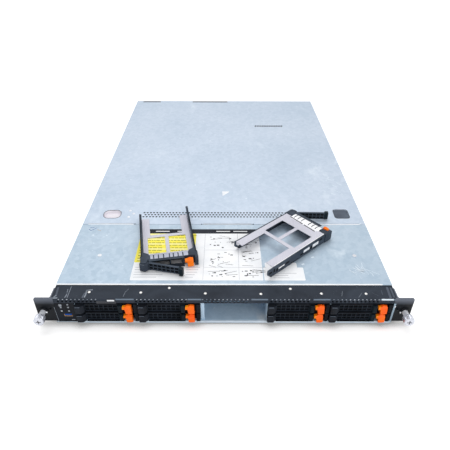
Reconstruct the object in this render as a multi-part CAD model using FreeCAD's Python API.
import FreeCAD, Part
import math
import os

# One-unit rack server, lying flat.
# +X is to the right seen from the front, +Y runs to the rear, +Z is up.
# The origin is the centre of the chassis floor's lower face. All sizes are in millimetres.

# Chassis
RACK_WIDTH = 482.6
EAR_REACH = 21.3
BODY_DEPTH = 705.0
BODY_TOP = 43.0
SHEET = 1.2
COVER_SHEET = 1.0
FIT = 0.3
FLOOR_LIP_HEIGHT = 4.0
FLANGE_INSET = 5.0

# Black front lip and covers
LIP_DROP = 1.5
LIP_DEPTH = 25.8
LIP_UNDERLAP = 10.0
BAND_BOTTOM = 35.0
BEND_RADIUS = 2.4
BAND_HOLE = 2.6
BAND_HOLE_PITCH = 5.2
BAND_HOLE_INSET = 8.0
BAND_PLAIN_FROM_LEFT = ((59.0, 105.0), (173.6, 191.0))
BAND_PLAIN_FROM_RIGHT = ((164.5, 185.6), (85.5, 107.0), (0.0, 22.0))
SEAM_FROM_FRONT = 161.5
SEAM_GAP = 0.6
COVER_TRAVEL = 20.0
FLANGE_DROP = 6.0
SIDE_NOTCH_INSET = 8.0
LEFT_NOTCH_LENGTH = 71.0
RIGHT_NOTCH_LENGTH = 69.0
MIDDLE_NOTCH = (-33.0, 43.0)
SEAM_NOTCH_DEPTH = 2.2
TONGUE_REACH = 7.0
TONGUE_ROOT = 9.0
TONGUE_STEP = 3.0
TONGUE_OVERLAP = 2.0
COVER_SCREW_RADIUS = 1.5
COVER_SCREW_HEAD = 3.2
COVER_SCREW_FROM_FRONT = 85.2
LEFT_SCREW_INSET = 43.8
RIGHT_SCREW_INSET = 35.4
SMALL_SIDES = 6
REAR_NOTCHES_FROM_LEFT = ((15.0, 59.0), (140.0, 228.5))
REAR_NOTCH_DEPTH = 9.0

# Perforated band and vent row of the rear cover
PERF_HOLE = 2.8
PERF_PITCH = 5.18
PERF_LEFT_INSET = 91.2
PERF_RIGHT_INSET = 64.9
PERF_ROWS_FROM_FRONT = (194.2, 188.4)
VENT_ACROSS = 3.0
VENT_COUNT = 12
VENT_INSET = 7.4
VENT_PITCH = 5.3
VENT_FROM_FRONT = 546.0

# Finger recess and release pad of the rear cover
RECESS_DEPTH = 5.0
FINGER_INSET = 40.5
FINGER_FROM_FRONT = 189.8
FINGER_WIDTH = 27.0
FINGER_LENGTH = 22.0
FINGER_CORNER = 9.0
PAD_INSET = 31.5
PAD_FROM_FRONT = 191.5
PAD_WIDTH = 22.5
PAD_LENGTH = 24.0
PAD_CORNER = 4.0
PAD_TRAVEL = 1.5
PAD_BELOW_TOP = 0.5

# Drive bays: two groups of two columns with an open bay between them
BAY_PITCH = 80.2
LEFT_GROUP_INSET = 29.4
RIGHT_GROUP_INSET = 4.2
DIVIDER_SETBACK = 3.0
CAGE_DEPTH = 137.0
CAGE_TOP = 34.7
ROW_PITCH = 15.4
GUIDE_WIDTH = 2.6
GUIDE_THICK = 0.6
OPEN_BAY_FLANGE = 4.5

# Drive carrier, in its own frame: x across, y to the rear from the bezel's face, z up
CARRIER_HEIGHT = 14.4
BEZEL_WIDTH = 78.4
BEZEL_SETBACK = 3.0
BEZEL_REAR = 12.0
CHEEK_FRONT = -2.5
RAIL_SPAN = 76.2
RAIL_WALL = 1.5
RAIL_LEFT_END = 122.5
RAIL_RIGHT_END = 133.0
RAIL_SLOTS = (((26.0, 40.0), (4.0, 10.4)), ((46.0, 60.0), (4.0, 10.4)), ((99.0, 112.0), (6.0, 9.0)))
PLATE_SHEET = 1.0
PLATE_FRONT = 17.0
PLATE_CROSSBAR_REAR = 75.7
PLATE_ARM_WIDTH = 12.5
PLATE_ARM_SHORT = (2.0, 11.0)
WINDOW_WIDTH = 25.4
WINDOW_FRONT = 31.3
WINDOW_REAR = 69.5
WINDOW_BAR = 5.4
DRIVE_WIDTH = 69.85
DRIVE_LENGTH = 100.45
DRIVE_HEIGHT = 9.5

# Ejector lever and orange latch of a carrier
PIVOT_X = -34.2
PIVOT_Y = -1.2
PIN_RADIUS = 1.2
PIN_CLEARANCE = 0.07
KNUCKLE_RADIUS = 5.7
KNUCKLE_ROOM = 0.4
KNUCKLE_FRONT = -5.0
KNUCKLE_RIGHT = -28.2
EAR_THICK = 1.1
LEVER_CLEARANCE = 0.2
LEVER_END = 20.2
GRILLE_END = 13.0
GRILLE_FRONT = -0.3
GRILLE_REAR = 2.6
GRILLE_LOW = 1.6
GRILLE_HIGH = 12.8
GRILLE_COLUMNS = 6
GRILLE_RIB = 1.3
LATCH_LEFT = 20.7
LATCH_RIGHT = 32.4
LATCH_FRONT = -5.2
LATCH_TRAVEL = 2.0
LATCH_LOW = 0.8
LATCH_TOP = 13.6
LATCH_NUB_LOW = 8.6
LATCH_STEM = 6.0
LATCH_STEM_Z = (4.0, 10.0)
LATCH_STEM_ROOM = 0.4

# Two carriers taken out and laid on the covers: place, turn and lever opening in degrees
LEFT_LOOSE_INSET = 145.8
LEFT_LOOSE_FROM_FRONT = 61.0
LEFT_LOOSE_TURN = 10.0
LEFT_LOOSE_OPENING = 23.0
RIGHT_LOOSE_INSET = 89.3
RIGHT_LOOSE_FROM_FRONT = 152.6
RIGHT_LOOSE_TURN = 132.0
RIGHT_LOOSE_OPENING = 46.7

# Rack ears and thumbscrews
EAR_SHEET = 2.0
EAR_LAP = 3.0
EAR_LOW = 2.8
EAR_CORNER = 2.5
EAR_FLANGE_SHEET = 1.5
EAR_FLANGE_LENGTH = 30.0
EAR_SHOULDER = 1.0
RACK_HOLE_INSET = 8.75
RACK_HOLE_HEIGHT = 21.5
SCREW_SHANK_RADIUS = 2.5
SCREW_SHANK_LENGTH = 12.0
SCREW_RELIEF_RADIUS = 2.3
SCREW_HOLE_RADIUS = 2.6
SCREW_NECK_RADIUS = 4.2
SCREW_HEAD_RADIUS = 7.0
SCREW_HEAD_LENGTH = 11.0
SCREW_REACH = 25.0
SCREW_FLUTES = 12
SCREW_NOSE = 1.5
CROSS_LENGTH = 7.0
CROSS_WIDTH = 1.4
CROSS_DEPTH = 2.2
BOSS_RADIUS = 6.0
BOSS_LENGTH = 2.0
EAR_PIN_RADIUS = 1.4
EAR_PIN_PLACE = (6.0, 3.0)

# Operator panel
PANEL_SPAN = 28.2
PANEL_DEPTH = 26.0
LIGHT_COLUMNS = (8.2, 17.7)
LIGHT_HEIGHTS = (20.6, 27.0)
TOP_LIGHT_HEIGHT = 32.0
LIGHT_SIZE = 2.2
LIGHT_DEPTH = 3.0
BUTTON_Z = 31.0
BUTTON_SIZE = 3.6
BUTTON_TRAVEL = 1.0
SOCKET_FROM_RIGHT = 10.2
SOCKET_Z = 13.3
SOCKET_WIDTH = 11.0
SOCKET_HEIGHT = 4.0
SOCKET_DEPTH = 9.0
SOCKET_TONGUE = 1.6

# Inside
FAN_COUNT = 6
FAN_SIZE = 36.0
FAN_DEPTH = 28.0
FAN_FROM_FRONT = 228.0
FAN_SIDE_ROOM = 13.0
FAN_BORE = 17.0
FAN_CLEARANCE = 0.6
FAN_HUB = 8.0
FAN_BLADES = 5
FAN_BEARING = 2.0
FAN_SIDES = 8
FAN_FOOT = 1.0
FAN_STRUT = 3.0
FAN_PIN_LENGTH = 9.0
BACKPLANE_SHEET = 2.0
DRIVE_SOCKET_WIDTH = 44.0
DRIVE_SOCKET_REACH = 4.0
DRIVE_SOCKET_LOW = 3.0
DRIVE_SOCKET_HIGH = 8.0
AIR_WINDOW_WIDTH = 60.0
AIR_WINDOW_HEIGHT = 5.0
BOARD_SIDE_ROOM = 8.0
BOARD_SUPPLY_ROOM = 11.6
BOARD_FROM_FRONT = 262.0
BOARD_SHEET = 1.6
STANDOFF = 5.0
SINK_SIZE = 72.0
SINK_FINS = 7
SINK_FIN = 1.0
SINK_BASE = 4.0
SINK_HEIGHT = 26.0
SINK_INSET = 44.0
SINK_FROM_BOARD_EDGE = 60.0
MODULE_LENGTH = 133.0
MODULE_HEIGHT = 28.0
MODULE_SHEET = 3.0
MODULE_PITCH = 9.5
MODULES_PER_BANK = 6
MODULES_FROM_BOARD_EDGE = 75.0
RISER_INSET = 114.0
RISER_SHEET = 2.0
RISER_HEIGHT = 24.0
RISER_FROM_REAR = (150.0, 45.0)
CARD_INSET = 12.0
CARD_HEIGHT = 14.0
PSU_WIDTH = 74.0
PSU_HEIGHT = 38.0
PSU_DEPTH = 210.0
PSU_SIDE_ROOM = 6.0
PSU_GAP = 2.4
INLET_WIDTH = 25.0
INLET_HEIGHT = 17.0
INLET_DEPTH = 17.0
INLET_FROM_LEFT = 22.0
INLET_ABOVE_SHELL = 20.0
BLADE_WIDTH = 2.0
BLADE_HEIGHT = 4.0
BLADE_SPREAD = 7.0
SUPPLY_GRILLE_SLOTS = 5
SUPPLY_GRILLE_FROM_LEFT = 44.0
SUPPLY_GRILLE_PITCH = 4.6
SUPPLY_GRILLE_SLOT = 2.6
SUPPLY_GRILLE_MARGIN = 8.0
HANDLE_REACH = 20.0
HANDLE_BAR = 4.0
HANDLE_FROM_RIGHT = 8.5
HANDLE_LOW = 4.0
HANDLE_HIGH = 30.0
PORT_DEPTH = 16.0
PORT_ROOM_BELOW = 1.5
PORT_ROOM_ABOVE = 3.5
JACK_WIDTH = 12.0
JACK_HEIGHT = 9.0
JACK_DEPTH = 10.0
JACK_PITCH = 17.0
JACK_COUNT = 4
JACK_INSET = 146.0

# Vent slots of the rear wall
REAR_VENT_COUNT = 9
REAR_VENT_INSET = 24.0
REAR_VENT_PITCH = 13.0
REAR_VENT_WIDTH = 8.0
REAR_VENT_RANGE = (12.0, 32.0)

# Slide-rail studs on the side walls
STUD_RADIUS = 3.0
STUD_LENGTH = 4.0
STUD_PITCH = 460.0
STUD_HEIGHT = 20.0

# Derived places
BODY_WIDTH = RACK_WIDTH - 2 * EAR_REACH
HALF = BODY_WIDTH / 2
FRONT = -BODY_DEPTH / 2
REAR = BODY_DEPTH / 2
COVER_UNDER = BODY_TOP - COVER_SHEET
WALL_TOP = COVER_UNDER - FIT
LIP_TOP = BODY_TOP - LIP_DROP
LIP_UNDER = LIP_TOP - SHEET
LIP_REAR = FRONT + LIP_DEPTH + LIP_UNDERLAP
COVER_FRONT = FRONT + LIP_DEPTH
SEAM = FRONT + SEAM_FROM_FRONT
BAY_FLOOR = FLOOR_LIP_HEIGHT
CAGE_REAR = FRONT + CAGE_DEPTH
EAR_INNER = HALF - EAR_LAP
RACK_HOLE_X = RACK_WIDTH / 2 - RACK_HOLE_INSET
PANEL_RIGHT = -HALF + PANEL_SPAN
LEFT_GROUP_X = -HALF + LEFT_GROUP_INSET
RIGHT_GROUP_X = HALF - RIGHT_GROUP_INSET - 2 * BAY_PITCH
FINGER_X = -HALF + FINGER_INSET
PAD_X = HALF - PAD_INSET
BUTTON_X = PANEL_RIGHT - LIGHT_COLUMNS[1]
SOCKET_X = PANEL_RIGHT - SOCKET_FROM_RIGHT
ROW_BASE = (BAY_FLOOR + FIT, BAY_FLOOR + FIT + ROW_PITCH)
HALF_BEZEL = BEZEL_WIDTH / 2
HALF_RAIL = RAIL_SPAN / 2
RAIL_INNER = HALF_RAIL - RAIL_WALL
LEVER_LOW = EAR_THICK + LEVER_CLEARANCE
LEVER_HIGH = CARRIER_HEIGHT - LEVER_LOW
FAN_FRONT = FRONT + FAN_FROM_FRONT
BOARD_TOP = SHEET + STANDOFF + BOARD_SHEET
PSU_FRONT = REAR - PSU_DEPTH
PSU_RIGHT = HALF - PSU_SIDE_ROOM
SUPPLIES_LEFT = PSU_RIGHT - 2 * PSU_WIDTH - PSU_GAP
BOARD_LEFT = -HALF + BOARD_SIDE_ROOM
BOARD_RIGHT = SUPPLIES_LEFT - BOARD_SUPPLY_ROOM
FAN_PITCH = (BODY_WIDTH - 2 * FAN_SIDE_ROOM) / FAN_COUNT

V = FreeCAD.Vector


def block(x, y, z):
    """Box between two values along each axis."""
    return Part.makeBox(x[1] - x[0], y[1] - y[0], z[1] - z[0], V(x[0], y[0], z[0]))


def around(centre, size):
    """Range of a given size around a centre."""
    return (centre - size / 2, centre + size / 2)


def prism(points, along):
    """Closed outline of straight edges, pushed along a vector."""
    wire = Part.makePolygon([V(*p) for p in points] + [V(*points[0])])
    return Part.Face(wire).extrude(V(*along))


def rod(base, radius, length, axis=(0, 0, 1)):
    """Round bar from a base point."""
    return Part.makeCylinder(radius, length, V(*base), V(*axis))


def sided_bar(base, radius, length, sides, axis=(0, 0, 1)):
    """Bar with a regular many-sided outline, used where a small round bar repeats many times."""
    points = []
    for i in range(sides + 1):
        angle = 2 * math.pi * (i + 0.5) / sides
        points.append(V(radius * math.cos(angle), radius * math.sin(angle), 0))
    bar = Part.Face(Part.makePolygon(points)).extrude(V(0, 0, length))
    bar.Placement = FreeCAD.Placement(V(*base), FreeCAD.Rotation(V(0, 0, 1), V(*axis)))
    return bar


def circumscribed(radius, sides):
    """Corner radius of a regular outline whose flats lie on a circle."""
    return radius / math.cos(math.pi / sides)


def joined(pieces):
    """One solid from overlapping or touching pieces."""
    whole = pieces[0].fuse(pieces[1:]) if len(pieces) > 1 else pieces[0]
    return whole.removeSplitter()


def less(whole, cuts):
    """Solid with a list of cuts taken out."""
    return whole.cut(Part.makeCompound(cuts)) if cuts else whole


def group(pieces):
    """Separate solids kept in one node."""
    return Part.makeCompound(pieces)


def mirrored(shape):
    """The same piece on the other side of the chassis."""
    return shape.mirror(V(0, 0, 0), V(1, 0, 0))


def upright_edges(shape, tall):
    """Edges that run along Z for the full height of a plain block."""
    edges = []
    for edge in shape.Edges:
        upright = abs(abs(edge.tangentAt(edge.FirstParameter).z) - 1) < 0.001
        if upright and edge.Length > tall:
            edges.append(edge)
    return edges


def psu_x(index):
    """Range across of a power supply; 0 is the outer one."""
    right = PSU_RIGHT - index * (PSU_WIDTH + PSU_GAP)
    return (right - PSU_WIDTH, right)


def jack_centres():
    """Centres of the network jacks along the rear wall."""
    return [BOARD_LEFT + JACK_INSET + i * JACK_PITCH for i in range(JACK_COUNT)]


def jack_low():
    return BOARD_TOP + FIT + 1.0


def base_pan():
    """Floor with two side walls, and the rear wall with its windows and vents."""
    floor = block((-HALF, HALF), (FRONT, REAR), (0, SHEET))
    wall_front = FRONT + EAR_SHEET + FIT
    step = LIP_REAR + FIT
    side = prism(
        [
            (HALF - SHEET, wall_front, 0),
            (HALF - SHEET, REAR, 0),
            (HALF - SHEET, REAR, WALL_TOP),
            (HALF - SHEET, step, WALL_TOP),
            (HALF - SHEET, step, LIP_UNDER),
            (HALF - SHEET, wall_front, LIP_UNDER),
        ],
        (SHEET, 0, 0),
    )
    rear = block((SHEET - HALF, HALF - SHEET), (REAR - SHEET, REAR), (SHEET, WALL_TOP))
    cuts = []
    through = (REAR - 2 * SHEET, REAR + SHEET)
    for i in range(2):
        bay = psu_x(i)
        cuts.append(block((bay[0] - FIT, bay[1] + FIT), through, (SHEET, SHEET + PSU_HEIGHT + 2 * FIT)))
    jacks = jack_centres()
    port_z = (jack_low() - PORT_ROOM_BELOW, jack_low() + JACK_HEIGHT + PORT_ROOM_ABOVE)
    cuts.append(block((jacks[0] - JACK_WIDTH, jacks[-1] + JACK_WIDTH), through, port_z))
    for i in range(REAR_VENT_COUNT):
        x = around(-HALF + REAR_VENT_INSET + i * REAR_VENT_PITCH, REAR_VENT_WIDTH)
        cuts.append(block(x, through, REAR_VENT_RANGE))
    return group([joined([floor, side, mirrored(side)]), less(rear, cuts)])


def bent_band(x_range):
    """Black sheet that runs back along the top and bends down over the drive bays."""
    outer = BEND_RADIUS
    inner = BEND_RADIUS - SHEET
    centre_y = FRONT + outer
    centre_z = LIP_TOP - outer
    half_turn = math.sqrt(0.5)
    x = x_range[0]

    def at(y, z):
        return V(x, y, z)

    def bend(radius):
        return at(centre_y - radius * half_turn, centre_z + radius * half_turn)

    edges = [
        Part.makeLine(at(FRONT, BAND_BOTTOM), at(FRONT, centre_z)),
        Part.Arc(at(FRONT, centre_z), bend(outer), at(centre_y, LIP_TOP)).toShape(),
        Part.makeLine(at(centre_y, LIP_TOP), at(LIP_REAR, LIP_TOP)),
        Part.makeLine(at(LIP_REAR, LIP_TOP), at(LIP_REAR, LIP_UNDER)),
        Part.makeLine(at(LIP_REAR, LIP_UNDER), at(centre_y, LIP_UNDER)),
        Part.Arc(at(centre_y, LIP_UNDER), bend(inner), at(FRONT + SHEET, centre_z)).toShape(),
        Part.makeLine(at(FRONT + SHEET, centre_z), at(FRONT + SHEET, BAND_BOTTOM)),
        Part.makeLine(at(FRONT + SHEET, BAND_BOTTOM), at(FRONT, BAND_BOTTOM)),
    ]
    return Part.Face(Part.Wire(edges)).extrude(V(x_range[1] - x_range[0], 0, 0))


def front_frame():
    edge = EAR_INNER - FIT
    band = bent_band((-edge, edge))
    wings = []
    for x in ((-HALF, -edge), (edge, HALF)):
        wings.append(block(x, (FRONT + EAR_SHEET + FIT, LIP_REAR), (LIP_UNDER, LIP_TOP)))
    holes = []
    hole_low = LIP_TOP - BEND_RADIUS - BAND_HOLE - 0.1
    hole_z = (hole_low, hole_low + BAND_HOLE)
    through = (FRONT - SHEET, FRONT + 2 * SHEET)
    plain = [(-HALF + a, -HALF + b) for a, b in BAND_PLAIN_FROM_LEFT]
    plain += [(HALF - b, HALF - a) for a, b in BAND_PLAIN_FROM_RIGHT]
    for i in range(int((BODY_WIDTH - 2 * BAND_HOLE_INSET) / BAND_HOLE_PITCH)):
        left = -HALF + BAND_HOLE_INSET + i * BAND_HOLE_PITCH
        right = left + BAND_HOLE
        if not any(left < b and right > a for a, b in plain):
            holes.append(block((left, right), through, hole_z))
    return less(joined([band] + wings), holes)


def cover_flange(y_range):
    """Short inner flange of a cover, just inside the chassis wall."""
    outer = HALF - SHEET - FIT
    return block((outer - COVER_SHEET, outer), y_range, (COVER_UNDER - FLANGE_DROP, COVER_UNDER))


def front_cover():
    plate = block((-HALF, HALF), (COVER_FRONT, SEAM), (COVER_UNDER, BODY_TOP))
    hem = block((-HALF, HALF), (COVER_FRONT, COVER_FRONT + SHEET), (LIP_TOP + FIT, BODY_TOP))
    sheet = joined([plate, hem])
    nose = [
        e
        for e in sheet.Edges
        if abs(e.CenterOfMass.y - COVER_FRONT) < 0.01 and abs(e.CenterOfMass.z - BODY_TOP) < 0.01
    ]
    sheet = sheet.makeFillet(0.8 * COVER_SHEET, nose)
    flange = cover_flange((LIP_REAR + FLANGE_INSET, SEAM - FLANGE_INSET))
    pieces = [sheet, flange, mirrored(flange)]
    notches = seam_notches()
    for left, right in (notches[0], notches[2]):
        tongue_top = COVER_UNDER - FIT
        x = (left - TONGUE_OVERLAP, right + TONGUE_OVERLAP)
        root = SEAM - TONGUE_ROOT
        pieces.append(block(x, (root, SEAM + TONGUE_REACH), (tongue_top - COVER_SHEET, tongue_top)))
        pieces.append(block(x, (root, root + TONGUE_STEP), (tongue_top - COVER_SHEET, COVER_UNDER)))
    hole = circumscribed(COVER_SCREW_RADIUS + 0.2, SMALL_SIDES)
    holes = [sided_bar((x, y, COVER_UNDER - 1.0), hole, 3.0, SMALL_SIDES) for x, y in cover_screw_places()]
    return less(joined(pieces), holes)


def seam_notches():
    """Long notches in the rear cover's front edge: left, middle and right."""
    left = -HALF + SIDE_NOTCH_INSET
    right = HALF - SIDE_NOTCH_INSET
    return [(left, left + LEFT_NOTCH_LENGTH), MIDDLE_NOTCH, (right - RIGHT_NOTCH_LENGTH, right)]


def cover_screw_places():
    places = (-HALF + LEFT_SCREW_INSET, HALF - RIGHT_SCREW_INSET)
    return [(x, FRONT + COVER_SCREW_FROM_FRONT) for x in places]


def cover_screws():
    screws = []
    for x, y in cover_screw_places():
        head = sided_bar((x, y, BODY_TOP), COVER_SCREW_HEAD, 0.7, SMALL_SIDES)
        shank = sided_bar((x, y, COVER_UNDER - 4.0), COVER_SCREW_RADIUS, COVER_SHEET + 4.2, SMALL_SIDES)
        screws.append(joined([head, shank]))
    return group(screws)


def rounded_bar(centre, size, corner, grow, low, high):
    """Upright bar with a rounded outline, grown by a margin."""
    bar = block(around(centre[0], size[0] + 2 * grow), around(centre[1], size[1] + 2 * grow), (low, high))
    return bar.makeFillet(corner + grow, upright_edges(bar, 0.9 * (high - low)))


def pad_bar(grow, low, high):
    centre = (PAD_X, FRONT + PAD_FROM_FRONT)
    return rounded_bar(centre, (PAD_WIDTH, PAD_LENGTH), PAD_CORNER, grow, low, high)


def finger_bar(grow, low, high):
    centre = (FINGER_X, FRONT + FINGER_FROM_FRONT)
    return rounded_bar(centre, (FINGER_WIDTH, FINGER_LENGTH), FINGER_CORNER, grow, low, high)


def perforations():
    """Rows of square holes, the second row shifted by half a pitch."""
    holes = []
    count = int((BODY_WIDTH - PERF_LEFT_INSET - PERF_RIGHT_INSET) / PERF_PITCH)
    for row, from_front in enumerate(PERF_ROWS_FROM_FRONT):
        shift = PERF_PITCH / 2 if row == 1 else 0.0
        for i in range(count):
            x = around(-HALF + PERF_LEFT_INSET + shift + i * PERF_PITCH, PERF_HOLE)
            holes.append(block(x, around(FRONT + from_front, PERF_HOLE), (COVER_UNDER - 1, BODY_TOP + 1)))
    return holes


def vent_row():
    """Row of small holes near the power supplies."""
    holes = []
    for i in range(VENT_COUNT):
        x = around(SUPPLIES_LEFT + VENT_INSET + i * VENT_PITCH, VENT_ACROSS)
        y = around(FRONT + VENT_FROM_FRONT, VENT_ACROSS)
        holes.append(block(x, y, (COVER_UNDER - 1, BODY_TOP + 1)))
    return holes


def recess_tub(centre, size, grow):
    """Plain tray under the cover that holds a recess."""
    wall = 2 * (COVER_SHEET + grow)
    low = BODY_TOP - RECESS_DEPTH - COVER_SHEET
    return block(around(centre[0], size[0] + wall), around(centre[1], size[1] + wall), (low, BODY_TOP))


def rear_cover():
    front = SEAM + SEAM_GAP
    plate = block((-HALF, HALF), (front, REAR), (COVER_UNDER, BODY_TOP))
    floor_top = BODY_TOP - RECESS_DEPTH
    flange = cover_flange((front + FLANGE_INSET, REAR - SHEET - COVER_TRAVEL - FLANGE_INSET))
    cup = recess_tub((FINGER_X, FRONT + FINGER_FROM_FRONT), (FINGER_WIDTH, FINGER_LENGTH), 0.0)
    tub = recess_tub((PAD_X, FRONT + PAD_FROM_FRONT), (PAD_WIDTH, PAD_LENGTH), FIT)
    body = joined([plate, flange, mirrored(flange), cup, tub])
    cuts = [
        finger_bar(0.0, floor_top, BODY_TOP + 1),
        pad_bar(FIT, floor_top, BODY_TOP + 1),
    ]
    height = (COVER_UNDER - 1, BODY_TOP + 1)
    for notch in seam_notches():
        cuts.append(block(notch, (front - 1, front + SEAM_NOTCH_DEPTH), height))
    for left, right in REAR_NOTCHES_FROM_LEFT:
        cuts.append(block((-HALF + left, -HALF + right), (REAR - REAR_NOTCH_DEPTH, REAR + 1), height))
    return less(body, cuts + perforations() + vent_row())


def cover_release():
    top = BODY_TOP - PAD_BELOW_TOP
    return pad_bar(0.0, top - (RECESS_DEPTH - PAD_BELOW_TOP - PAD_TRAVEL - FIT), top)


def divider(x, left_guides, right_guides):
    """Upright wall between bays, with guide strips between the two rows."""
    y = (FRONT + DIVIDER_SETBACK, CAGE_REAR)
    wall = block(around(x, SHEET), y, (BAY_FLOOR, CAGE_TOP))
    guide_y = (FRONT + BEZEL_REAR + 1.0, CAGE_REAR)
    guide_z = around(ROW_BASE[1] - (ROW_PITCH - CARRIER_HEIGHT) / 2, GUIDE_THICK)
    pieces = [wall]
    if right_guides:
        pieces.append(block((x, x + SHEET / 2 + GUIDE_WIDTH), guide_y, guide_z))
    if left_guides:
        pieces.append(block((x - SHEET / 2 - GUIDE_WIDTH, x), guide_y, guide_z))
    return joined(pieces)


def divider_places():
    """Wall centres, with the sides that carry guides."""
    places = []
    for start in (LEFT_GROUP_X, RIGHT_GROUP_X):
        for i in range(3):
            places.append((start + i * BAY_PITCH, i > 0, i < 2))
    return places


def drive_cage():
    """Raised bay floor with a front flange, and six walls."""
    floor_x = (LEFT_GROUP_X - SHEET / 2, RIGHT_GROUP_X + 2 * BAY_PITCH + SHEET / 2)
    floor = block(floor_x, (FRONT, CAGE_REAR), (BAY_FLOOR - COVER_SHEET, BAY_FLOOR))
    rails = [block(floor_x, (FRONT, FRONT + SHEET), (SHEET, BAY_FLOOR))]
    for x in floor_x:
        foot = around(x - math.copysign(5.0, x), 8.0)
        rails.append(block(foot, (FRONT, CAGE_REAR), (SHEET, BAY_FLOOR - COVER_SHEET)))
    flange_x = LEFT_GROUP_X + 2 * BAY_PITCH
    flange_y = (FRONT + DIVIDER_SETBACK - SHEET, FRONT + DIVIDER_SETBACK)
    flange = block((flange_x, flange_x + OPEN_BAY_FLANGE), flange_y, (BAY_FLOOR, CAGE_TOP))
    walls = []
    for index, (x, left, right) in enumerate(divider_places()):
        wall = divider(x, left, right)
        walls.append(joined([wall, flange]) if index == 2 else wall)
    return group([joined([floor] + rails)] + walls)


def ear(side):
    """Rack ear: a flat plate with a hole for the thumbscrew and a flange along the chassis wall."""
    outer = RACK_WIDTH / 2
    plate = block((EAR_INNER, outer), (FRONT, FRONT + EAR_SHEET), (EAR_LOW, BODY_TOP))
    corner = [
        e
        for e in plate.Edges
        if abs(e.CenterOfMass.x - outer) < 0.01 and abs(e.CenterOfMass.z - BODY_TOP) < 0.01
    ]
    plate = plate.makeFillet(EAR_CORNER, corner)
    flange_y = (FRONT, FRONT + EAR_FLANGE_LENGTH)
    flange = prism(
        [
            (HALF, flange_y[0], EAR_LOW),
            (HALF, flange_y[1], EAR_LOW),
            (HALF, flange_y[1], BODY_TOP - 10.0),
            (HALF, flange_y[1] - 9.0, BODY_TOP - LIP_DROP),
            (HALF, flange_y[0], BODY_TOP - LIP_DROP),
        ],
        (EAR_FLANGE_SHEET, 0, 0),
    )
    shoulder_y = (FRONT, FRONT + EAR_SHEET + EAR_SHOULDER)
    shoulder = block((HALF, HALF + EAR_FLANGE_SHEET), shoulder_y, (EAR_LOW, BODY_TOP))
    x = RACK_HOLE_X
    boss_base = (x, FRONT - BOSS_LENGTH, RACK_HOLE_HEIGHT)
    boss = sided_bar(boss_base, BOSS_RADIUS, BOSS_LENGTH + 0.5, 2 * SMALL_SIDES, (0, 1, 0))
    hole_corner = circumscribed(SCREW_HOLE_RADIUS, 2 * SMALL_SIDES)
    hole = sided_bar((x, FRONT - 5, RACK_HOLE_HEIGHT), hole_corner, 10, 2 * SMALL_SIDES, (0, 1, 0))
    pin_base = (EAR_INNER + EAR_PIN_PLACE[0], FRONT - BOSS_LENGTH, RACK_HOLE_HEIGHT + EAR_PIN_PLACE[1])
    pin = sided_bar(pin_base, EAR_PIN_RADIUS, BOSS_LENGTH + 0.5, SMALL_SIDES, (0, 1, 0))
    whole = joined([less(joined([plate, flange, shoulder, boss]), [hole]), pin])
    return whole if side > 0 else mirrored(whole)


def thumbscrew(side):
    """Captive screw: threaded end, thin shank, neck and fluted head with a cross recess."""
    x = RACK_HOLE_X
    z = RACK_HOLE_HEIGHT
    along = (0, 1, 0)
    tip = FRONT - SCREW_REACH
    neck_end = FRONT - BOSS_LENGTH - 0.1
    head_rear = tip + SCREW_HEAD_LENGTH
    thread_front = FRONT + EAR_SHEET + FIT
    thread = rod((x, thread_front, z), SCREW_SHANK_RADIUS, SCREW_SHANK_LENGTH, along)
    shank_length = thread_front - neck_end + 1.5
    shank = sided_bar((x, neck_end - 1, z), SCREW_RELIEF_RADIUS, shank_length, 2 * SMALL_SIDES, along)
    neck_length = neck_end - head_rear + 1
    neck = sided_bar((x, head_rear - 1, z), SCREW_NECK_RADIUS, neck_length, 2 * SMALL_SIDES, along)
    outline = []
    for i in range(SCREW_FLUTES):
        for part, radius in ((0.0, 1.0), (0.5, 0.88)):
            angle = 2 * math.pi * (i + part) / SCREW_FLUTES
            reach = radius * SCREW_HEAD_RADIUS
            outline.append((x + reach * math.cos(angle), tip + SCREW_NOSE, z + reach * math.sin(angle)))
    head = prism(outline, (0, SCREW_HEAD_LENGTH - SCREW_NOSE, 0))
    nose = sided_bar((x, tip, z), 0.8 * SCREW_HEAD_RADIUS, SCREW_NOSE + 0.1, 2 * SMALL_SIDES, along)
    cross_y = (tip - 1, tip + CROSS_DEPTH)
    cross = [
        block(around(x, CROSS_LENGTH), cross_y, around(z, CROSS_WIDTH)),
        block(around(x, CROSS_WIDTH), cross_y, around(z, CROSS_LENGTH)),
    ]
    whole = less(joined([thread, shank, neck, head, nose]), cross)
    return whole if side > 0 else mirrored(whole)


def panel_pocket(x, z, size, depth):
    return block(around(x, size), (FRONT - 1, FRONT + depth), around(z, size))


def light_places():
    """Centres of the status lights, with the button in the upper left place."""
    places = [(PANEL_RIGHT - LIGHT_COLUMNS[0], TOP_LIGHT_HEIGHT)]
    for z in LIGHT_HEIGHTS:
        places += [(PANEL_RIGHT - x, z) for x in LIGHT_COLUMNS]
    return places


def operator_panel():
    body = block((-EAR_INNER + FIT, PANEL_RIGHT), (FRONT, FRONT + PANEL_DEPTH), (SHEET, BAND_BOTTOM - FIT))
    cuts = [panel_pocket(x, z, LIGHT_SIZE + 0.2, LIGHT_DEPTH) for x, z in light_places()]
    cuts.append(panel_pocket(BUTTON_X, BUTTON_Z, BUTTON_SIZE + 2 * FIT, LIGHT_DEPTH + BUTTON_TRAVEL))
    socket_y = (FRONT - 1, FRONT + SOCKET_DEPTH)
    cuts.append(block(around(SOCKET_X, SOCKET_WIDTH), socket_y, around(SOCKET_Z, SOCKET_HEIGHT)))
    tongue_y = (FRONT + 0.6, FRONT + SOCKET_DEPTH + 0.5)
    tongue = block(around(SOCKET_X, SOCKET_WIDTH - 3.0), tongue_y, around(SOCKET_Z, SOCKET_TONGUE))
    return joined([less(body, cuts), tongue])


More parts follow.
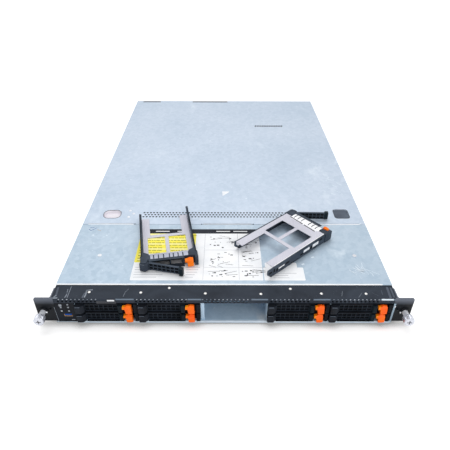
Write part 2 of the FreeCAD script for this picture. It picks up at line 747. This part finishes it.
def panel_lights():
    pieces = []
    for x, z in light_places():
        pieces.append(block(around(x, LIGHT_SIZE), (FRONT - 0.2, FRONT + LIGHT_DEPTH), around(z, LIGHT_SIZE)))
    return group(pieces)


def power_button():
    y = (FRONT - 0.6, FRONT + LIGHT_DEPTH - FIT)
    return block(around(BUTTON_X, BUTTON_SIZE), y, around(BUTTON_Z, BUTTON_SIZE))


def drive_backplane():
    board_x = (LEFT_GROUP_X, RIGHT_GROUP_X + 2 * BAY_PITCH)
    y = (CAGE_REAR + FIT, CAGE_REAR + FIT + BACKPLANE_SHEET)
    board = block(board_x, y, (SHEET, CAGE_TOP))
    sockets = []
    for x in column_centres():
        for z in ROW_BASE:
            socket_z = (z + DRIVE_SOCKET_LOW, z + DRIVE_SOCKET_HIGH)
            sockets.append(block(around(x, DRIVE_SOCKET_WIDTH), (y[0] - DRIVE_SOCKET_REACH, y[0]), socket_z))
    windows = []
    for x in column_centres():
        window_z = around(ROW_BASE[1] - 1.0, AIR_WINDOW_HEIGHT)
        windows.append(block(around(x, AIR_WINDOW_WIDTH), (y[0] - 1, y[1] + 1), window_z))
    return joined([less(board, windows)] + sockets)


def column_centres():
    return [start + (i + 0.5) * BAY_PITCH for start in (LEFT_GROUP_X, RIGHT_GROUP_X) for i in range(2)]


def knuckle_outline(radius, z):
    """Half-round back of the lever's knuckle in five facets, from right to left about the pivot."""
    points = []
    for i in range(6):
        angle = math.pi * i / 5
        points.append((PIVOT_X + radius * math.cos(angle), PIVOT_Y + radius * math.sin(angle), z))
    return points


def carrier_frame(rail_slots):
    """Black plastic frame: bezel with pivot ears, open window and latch slot, and two side rails."""
    low_ear = (0, EAR_THICK)
    high_ear = (CARRIER_HEIGHT - EAR_THICK, CARRIER_HEIGHT)
    bezel = block((-HALF_BEZEL, HALF_BEZEL), (BEZEL_SETBACK, BEZEL_REAR), (0, CARRIER_HEIGHT))
    room = circumscribed(KNUCKLE_RADIUS + KNUCKLE_ROOM, 10)
    knuckle_room = prism(knuckle_outline(room, EAR_THICK), (0, 0, CARRIER_HEIGHT - 2 * EAR_THICK))
    through = (BEZEL_SETBACK - 1, BEZEL_REAR + 1)
    window = block((KNUCKLE_RIGHT + 2.0, GRILLE_END + 4.0), through, (GRILLE_LOW - 0.5, GRILLE_HIGH))
    stem_x = latch_stem_x()
    slot_x = (stem_x[0] - FIT, stem_x[1] + LATCH_TRAVEL + FIT)
    slot = block(slot_x, through, (LATCH_STEM_Z[0] - LATCH_STEM_ROOM, LATCH_STEM_Z[1] + LATCH_STEM_ROOM))
    bezel = less(bezel, [knuckle_room, window, slot])
    cheek = block((LATCH_RIGHT + LATCH_TRAVEL + FIT, HALF_BEZEL), (CHEEK_FRONT, BEZEL_SETBACK + 1), (0, CARRIER_HEIGHT))
    pieces = [bezel, cheek]
    for z in (low_ear, high_ear):
        outline = [
            (-HALF_BEZEL, BEZEL_SETBACK + 1, z[0]),
            (-HALF_BEZEL, PIVOT_Y, z[0]),
            (-HALF_BEZEL + 2.0, PIVOT_Y - 2.4, z[0]),
            (PIVOT_X + 2.4, PIVOT_Y - 2.4, z[0]),
            (KNUCKLE_RIGHT, BEZEL_SETBACK + 1, z[0]),
        ]
        pieces.append(prism(outline, (0, 0, z[1] - z[0])))
    pin_base = (PIVOT_X, PIVOT_Y, EAR_THICK / 2)
    pieces.append(sided_bar(pin_base, PIN_RADIUS, CARRIER_HEIGHT - EAR_THICK, SMALL_SIDES))
    pieces.append(rail(-1, RAIL_LEFT_END, []))
    pieces.append(rail(1, RAIL_RIGHT_END, RAIL_SLOTS if rail_slots else []))
    return joined(pieces)


def rail(side, end, slots):
    """Side rail of a carrier, with its rear upper corner cut away."""
    x = min(side * HALF_RAIL, side * RAIL_INNER)
    wall = prism(
        [
            (x, BEZEL_REAR - 1, 0),
            (x, end, 0),
            (x, end, 0.55 * CARRIER_HEIGHT),
            (x, end - 7.0, CARRIER_HEIGHT),
            (x, BEZEL_REAR - 1, CARRIER_HEIGHT),
        ],
        (RAIL_WALL, 0, 0),
    )
    return less(wall, [block((x - 1, x + RAIL_WALL + 1), y, z) for y, z in slots])


def carrier_plate(with_windows):
    """Sheet-metal tray floor: two windows, a crossbar and two long arms."""
    edge = RAIL_INNER - 0.2
    arm = edge - PLATE_ARM_WIDTH
    front = BEZEL_REAR + FIT
    outline = [
        (-edge, front, 0),
        (-arm, front, 0),
        (-arm, PLATE_FRONT, 0),
        (arm, PLATE_FRONT, 0),
        (arm, front, 0),
        (edge, front, 0),
        (edge, RAIL_RIGHT_END - PLATE_ARM_SHORT[1], 0),
        (arm, RAIL_RIGHT_END - PLATE_ARM_SHORT[1], 0),
        (arm, PLATE_CROSSBAR_REAR, 0),
        (-arm, PLATE_CROSSBAR_REAR, 0),
        (-arm, RAIL_LEFT_END - PLATE_ARM_SHORT[0], 0),
        (-edge, RAIL_LEFT_END - PLATE_ARM_SHORT[0], 0),
    ]
    sheet = prism(outline, (0, 0, PLATE_SHEET))
    windows = []
    for side in (-1, 1) if with_windows else ():
        x = around(side * (WINDOW_WIDTH + WINDOW_BAR) / 2, WINDOW_WIDTH)
        windows.append(block(x, (WINDOW_FRONT, WINDOW_REAR), (-1, PLATE_SHEET + 1)))
    return less(sheet, windows)


def drive():
    """Small-form-factor drive, lying on the carrier's plate."""
    y = (BEZEL_REAR + 2.0, BEZEL_REAR + 2.0 + DRIVE_LENGTH)
    return block(around(0, DRIVE_WIDTH), y, (PLATE_SHEET, PLATE_SHEET + DRIVE_HEIGHT))


def lever():
    """Ejector lever: knuckle round the pivot pin, a slotted grille and an end block."""
    x_left = PIVOT_X - KNUCKLE_RADIUS
    outline = knuckle_outline(KNUCKLE_RADIUS, LEVER_LOW) + [
        (x_left, KNUCKLE_FRONT + 0.8, LEVER_LOW),
        (x_left + 0.9, KNUCKLE_FRONT, LEVER_LOW),
        (PIVOT_X + 1.6, KNUCKLE_FRONT, LEVER_LOW),
    ]
    knuckle = prism(outline, (0, 0, LEVER_HIGH - LEVER_LOW))
    bar = block((PIVOT_X, GRILLE_END + 1), (GRILLE_FRONT, GRILLE_REAR), (GRILLE_LOW, GRILLE_HIGH))
    end = prism(
        [
            (GRILLE_END, GRILLE_REAR, LEVER_LOW + FIT),
            (GRILLE_END, GRILLE_FRONT, LEVER_LOW + FIT),
            (GRILLE_END + 1.8, GRILLE_FRONT - 1.6, LEVER_LOW + FIT),
            (LEVER_END, GRILLE_FRONT - 1.6, LEVER_LOW + FIT),
            (LEVER_END, GRILLE_REAR, LEVER_LOW + FIT),
        ],
        (0, 0, LEVER_HIGH - LEVER_LOW - 2 * FIT),
    )
    bore_corner = circumscribed(PIN_RADIUS + PIN_CLEARANCE, SMALL_SIDES)
    holes = [sided_bar((PIVOT_X, PIVOT_Y, 0), bore_corner, CARRIER_HEIGHT, SMALL_SIDES)]
    cell = (GRILLE_END - KNUCKLE_RIGHT - GRILLE_RIB) / GRILLE_COLUMNS
    for i in range(GRILLE_COLUMNS):
        x = KNUCKLE_RIGHT + GRILLE_RIB + i * cell
        z = (GRILLE_LOW + GRILLE_RIB, GRILLE_HIGH - GRILLE_RIB)
        holes.append(block((x, x + cell - GRILLE_RIB), (GRILLE_FRONT - 1, GRILLE_REAR + 1), z))
    return less(joined([knuckle, bar, end]), holes)


def latch_stem_x():
    centre = (LATCH_LEFT + LATCH_RIGHT) / 2 + 0.6
    return around(centre, LATCH_STEM)


def latch():
    """Orange catch that slides to the right to free the lever."""
    x0 = LATCH_LEFT
    x1 = LATCH_RIGHT
    y = LATCH_FRONT
    top = LATCH_TOP
    outline = [
        (x0, y, LATCH_NUB_LOW),
        (x0, y, top - 1.8),
        (x0 + 3.4, y, top - 1.4),
        (x0 + 6.2, y, top),
        (x1 - 0.6, y, top - 0.8),
        (x1, y, LATCH_LOW + 0.8),
        (x1 - 3.4, y, LATCH_LOW),
        (x0 + 3.8, y, LATCH_LOW),
        (x0 + 2.8, y, LATCH_NUB_LOW),
    ]
    thumb = prism(outline, (0, -FIT - LATCH_FRONT, 0))
    slope = prism(
        [(x0 - 1, y - 1, top - 4.1), (x0 - 1, y - 1, top + 1.4), (x0 - 1, y + 3.4, top + 1.4)],
        (x1 - x0 + 2, 0, 0),
    )
    stem = block(latch_stem_x(), (-FIT - 0.5, BEZEL_REAR - 2.0), LATCH_STEM_Z)
    return joined([less(thumb, [slope]), stem])


def installed_place(column_x, row):
    """Placement of a carrier in its bay."""
    return FreeCAD.Placement(V(column_x, FRONT, ROW_BASE[row]), FreeCAD.Rotation())


def loose_place(x, from_front, turn, upside_down):
    """Placement of a carrier that lies on the covers, upright or turned over."""
    spin = FreeCAD.Rotation(V(0, 0, 1), turn)
    low = BODY_TOP + FIT
    if not upside_down:
        return FreeCAD.Placement(V(x, FRONT + from_front, low), spin)
    over = FreeCAD.Rotation(V(0, 1, 0), 180)
    return FreeCAD.Placement(V(x, FRONT + from_front, low + CARRIER_HEIGHT), spin.multiply(over))


def placed(shape, place):
    moved = shape.copy()
    moved.Placement = place.multiply(moved.Placement)
    return moved


def opened(shape, degrees):
    """Lever swung forward about its pivot."""
    turned = shape.copy()
    turned.rotate(V(PIVOT_X, PIVOT_Y, 0), V(0, 0, 1), -degrees)
    return turned


def fan_centre(index):
    x = (index - (FAN_COUNT - 1) / 2) * FAN_PITCH
    return (x, SHEET + FAN_FOOT + FAN_SIZE / 2)


def fan_wall():
    """Bracket with six square fan housings, each with a motor strut and bearing pin."""
    y = (FAN_FRONT, FAN_FRONT + FAN_DEPTH)
    along = (0, 1, 0)
    bore_corner = circumscribed(FAN_BORE, FAN_SIDES)
    pin_front = y[1] - FAN_PIN_LENGTH - 1
    pieces = []
    for i in range(FAN_COUNT):
        x, z = fan_centre(i)
        shell = block(around(x, FAN_SIZE), y, around(z, FAN_SIZE))
        bore = sided_bar((x, y[0] - 1, z), bore_corner, FAN_DEPTH + 2, FAN_SIDES, along)
        strut = block(around(x, FAN_SIZE - 1), (y[1] - 2.0, y[1]), around(z, FAN_STRUT))
        pin = sided_bar((x, pin_front, z), FAN_BEARING, FAN_PIN_LENGTH, SMALL_SIDES, along)
        pieces.append(joined([shell.cut(bore), strut, pin]))
    half = HALF - SHEET - 2.0
    foot = block((-half, half), y, (SHEET, SHEET + FAN_FOOT))
    return joined(pieces + [foot])


def fan_rotor(index):
    """Hub with swept blades, turning on the housing's pin."""
    x, z = fan_centre(index)
    y = (FAN_FRONT + 4.0, FAN_FRONT + FAN_DEPTH - 4.0)
    hub = sided_bar((x, y[0], z), FAN_HUB, y[1] - y[0], 2 * FAN_BLADES, (0, 1, 0))
    bore_corner = circumscribed(FAN_BEARING + 0.06, SMALL_SIDES)
    bore = sided_bar((x, y[1] - FAN_PIN_LENGTH, z), bore_corner, FAN_PIN_LENGTH + 1, SMALL_SIDES, (0, 1, 0))
    reach = FAN_BORE - FAN_CLEARANCE
    blades = []
    for k in range(FAN_BLADES):
        blade = prism(
            [
                (x - 4.5, y[0] + 2, z),
                (x - 2.9, y[0] + 2, z),
                (x + 4.5, y[1] - 2, z),
                (x + 2.9, y[1] - 2, z),
            ],
            (0, 0, reach - 1.0),
        )
        blade.rotate(V(x, 0, z), V(0, 1, 0), 360.0 * k / FAN_BLADES)
        blades.append(blade)
    return less(joined([hub] + blades), [bore])


def mainboard():
    y = (FRONT + BOARD_FROM_FRONT, REAR - SHEET - FIT)
    board = block((BOARD_LEFT, BOARD_RIGHT), y, (SHEET + STANDOFF, BOARD_TOP))
    posts = []
    for x in (BOARD_LEFT + 8, (BOARD_LEFT + BOARD_RIGHT) / 2, BOARD_RIGHT - 8):
        for place in (y[0] + 10, sum(y) / 2, y[1] - 12):
            posts.append(block(around(x, 6), around(place, 6), (SHEET, SHEET + STANDOFF)))
    return joined([board] + posts)


def heat_sinks():
    """Two finned sinks over the processors, fins along the air flow."""
    y = around(FRONT + BOARD_FROM_FRONT + SINK_FROM_BOARD_EDGE, SINK_SIZE)
    sinks = []
    for x in (BOARD_LEFT + SINK_INSET, BOARD_RIGHT - SINK_INSET):
        pieces = [block(around(x, SINK_SIZE), y, (BOARD_TOP, BOARD_TOP + SINK_BASE))]
        step = (SINK_SIZE - SINK_FIN) / (SINK_FINS - 1)
        fin_z = (BOARD_TOP + SINK_BASE - 0.5, BOARD_TOP + SINK_HEIGHT)
        for i in range(SINK_FINS):
            left = x - SINK_SIZE / 2 + i * step
            pieces.append(block((left, left + SINK_FIN), y, fin_z))
        sinks.append(joined(pieces))
    return group(sinks)


def memory_modules():
    y = around(FRONT + BOARD_FROM_FRONT + MODULES_FROM_BOARD_EDGE, MODULE_LENGTH)
    modules = []
    first = (BOARD_LEFT + BOARD_RIGHT) / 2 - (MODULES_PER_BANK - 1) * MODULE_PITCH / 2
    for i in range(MODULES_PER_BANK):
        x = around(first + i * MODULE_PITCH, MODULE_SHEET)
        modules.append(block(x, y, (BOARD_TOP, BOARD_TOP + MODULE_HEIGHT)))
    return group(modules)


def riser_card():
    """Riser board standing on the mainboard, with a card lying in its slot."""
    y = (REAR - RISER_FROM_REAR[0], REAR - RISER_FROM_REAR[1])
    x = BOARD_LEFT + RISER_INSET
    riser = block((x, x + RISER_SHEET), y, (BOARD_TOP, BOARD_TOP + RISER_HEIGHT))
    card_low = BOARD_TOP + CARD_HEIGHT
    card = block((BOARD_LEFT + CARD_INSET, x), (y[0] + 8, y[1]), (card_low, card_low + RISER_SHEET))
    return joined([riser, card])


def rear_ports():
    """Block of network jacks on the rear edge of the mainboard."""
    low = BOARD_TOP
    high = jack_low() + JACK_HEIGHT + PORT_ROOM_ABOVE - PORT_ROOM_BELOW
    centres = jack_centres()
    shell = block(
        (centres[0] - JACK_WIDTH + FIT + 1, centres[-1] + JACK_WIDTH - FIT - 1),
        (REAR - SHEET - PORT_DEPTH, REAR - FIT),
        (low, high),
    )
    sockets = [
        block(around(x, JACK_WIDTH), (REAR - JACK_DEPTH, REAR + 1), (jack_low(), jack_low() + JACK_HEIGHT))
        for x in centres
    ]
    return less(shell, sockets)


def power_supply(index):
    """Plug-in supply: shell with an inlet socket, a fan grille and a fixed pull handle."""
    x = psu_x(index)
    z = (SHEET + FIT, SHEET + FIT + PSU_HEIGHT)
    shell = block(x, (PSU_FRONT, REAR), z)
    inlet_x = x[0] + INLET_FROM_LEFT
    inlet_z = z[0] + INLET_ABOVE_SHELL
    inlet = block(around(inlet_x, INLET_WIDTH), (REAR - INLET_DEPTH, REAR + 1), around(inlet_z, INLET_HEIGHT))
    grille = []
    slot_z = (z[0] + SUPPLY_GRILLE_MARGIN, z[1] - SUPPLY_GRILLE_MARGIN)
    for i in range(SUPPLY_GRILLE_SLOTS):
        slot_x = around(x[0] + SUPPLY_GRILLE_FROM_LEFT + i * SUPPLY_GRILLE_PITCH, SUPPLY_GRILLE_SLOT)
        grille.append(block(slot_x, (REAR - 3.0, REAR + 1), slot_z))
    blades = []
    blade_y = (REAR - INLET_DEPTH - 1, REAR - 6.0)
    for dx, dz in ((-BLADE_SPREAD, -BLADE_WIDTH), (BLADE_SPREAD, -BLADE_WIDTH), (0.0, BLADE_WIDTH)):
        blades.append(block(around(inlet_x + dx, BLADE_WIDTH), blade_y, around(inlet_z + dz, BLADE_HEIGHT)))
    handle_x = (x[1] - HANDLE_FROM_RIGHT, x[1] - HANDLE_FROM_RIGHT + HANDLE_BAR)
    handle_y = (REAR - 0.5, REAR + HANDLE_REACH)
    handle_z = (z[0] + HANDLE_LOW, z[0] + HANDLE_HIGH)
    handle = less(
        block(handle_x, handle_y, handle_z),
        [
            block(
                (handle_x[0] - 1, handle_x[1] + 1),
                (REAR - 1, handle_y[1] - HANDLE_BAR),
                (handle_z[0] + HANDLE_BAR, handle_z[1] - HANDLE_BAR),
            )
        ],
    )
    return joined([less(shell, [inlet] + grille)] + blades + [handle])


def rail_studs():
    """Shoulder studs that hang the chassis in its slide rails, two on each side."""
    studs = []
    for side in (-1, 1):
        for end in (-0.5, 0.5):
            base = (side * HALF, end * STUD_PITCH, STUD_HEIGHT)
            studs.append(rod(base, STUD_RADIUS, STUD_LENGTH, (side, 0, 0)))
    return group(studs)


def carrier_nodes():
    """Eight carriers in their bays and two lying on the covers, each with its lever and latch."""
    hidden_frame = carrier_frame(False)
    open_frame = carrier_frame(True)
    hidden_plate = carrier_plate(False)
    open_plate = carrier_plate(True)
    disk = drive()
    handle = lever()
    catch = latch()
    nodes = {}
    number = 0
    for row in (1, 0):
        for x in column_centres():
            number += 1
            place = installed_place(x, row)
            nodes[f"carrier_{number}"] = group([placed(s, place) for s in (hidden_frame, hidden_plate, disk)])
            nodes[f"lever_{number}"] = placed(handle, place)
            nodes[f"latch_{number}"] = placed(catch, place)
    left_place = loose_place(-HALF + LEFT_LOOSE_INSET, LEFT_LOOSE_FROM_FRONT, LEFT_LOOSE_TURN, False)
    right_place = loose_place(HALF - RIGHT_LOOSE_INSET, RIGHT_LOOSE_FROM_FRONT, RIGHT_LOOSE_TURN, True)
    for name, place, opening in (
        ("left_loose", left_place, LEFT_LOOSE_OPENING),
        ("right_loose", right_place, RIGHT_LOOSE_OPENING),
    ):
        nodes[f"{name}_carrier"] = group([placed(s, place) for s in (open_frame, open_plate)])
        nodes[f"{name}_lever"] = placed(opened(handle, opening), place)
        nodes[f"{name}_latch"] = placed(catch, place)
    return nodes


def all_nodes():
    nodes = {
        "base_pan": base_pan(),
        "front_frame": front_frame(),
        "front_cover": front_cover(),
        "cover_screws": cover_screws(),
        "rear_cover": rear_cover(),
        "cover_release": cover_release(),
        "drive_cage": drive_cage(),
        "drive_backplane": drive_backplane(),
        "left_ear": ear(-1),
        "right_ear": ear(1),
        "left_thumbscrew": thumbscrew(-1),
        "right_thumbscrew": thumbscrew(1),
        "operator_panel": operator_panel(),
        "panel_lights": panel_lights(),
        "power_button": power_button(),
        "fan_wall": fan_wall(),
        "mainboard": mainboard(),
        "heat_sinks": heat_sinks(),
        "memory_modules": memory_modules(),
        "riser_card": riser_card(),
        "rear_ports": rear_ports(),
        "power_supply_1": power_supply(0),
        "power_supply_2": power_supply(1),
        "rail_studs": rail_studs(),
    }
    for i in range(FAN_COUNT):
        nodes[f"fan_rotor_{i + 1}"] = fan_rotor(i)
    nodes.update(carrier_nodes())
    return nodes


os.makedirs("parts", exist_ok=True)
for name, shape in all_nodes().items():
    shape.exportStep(f"parts/{name}.step")
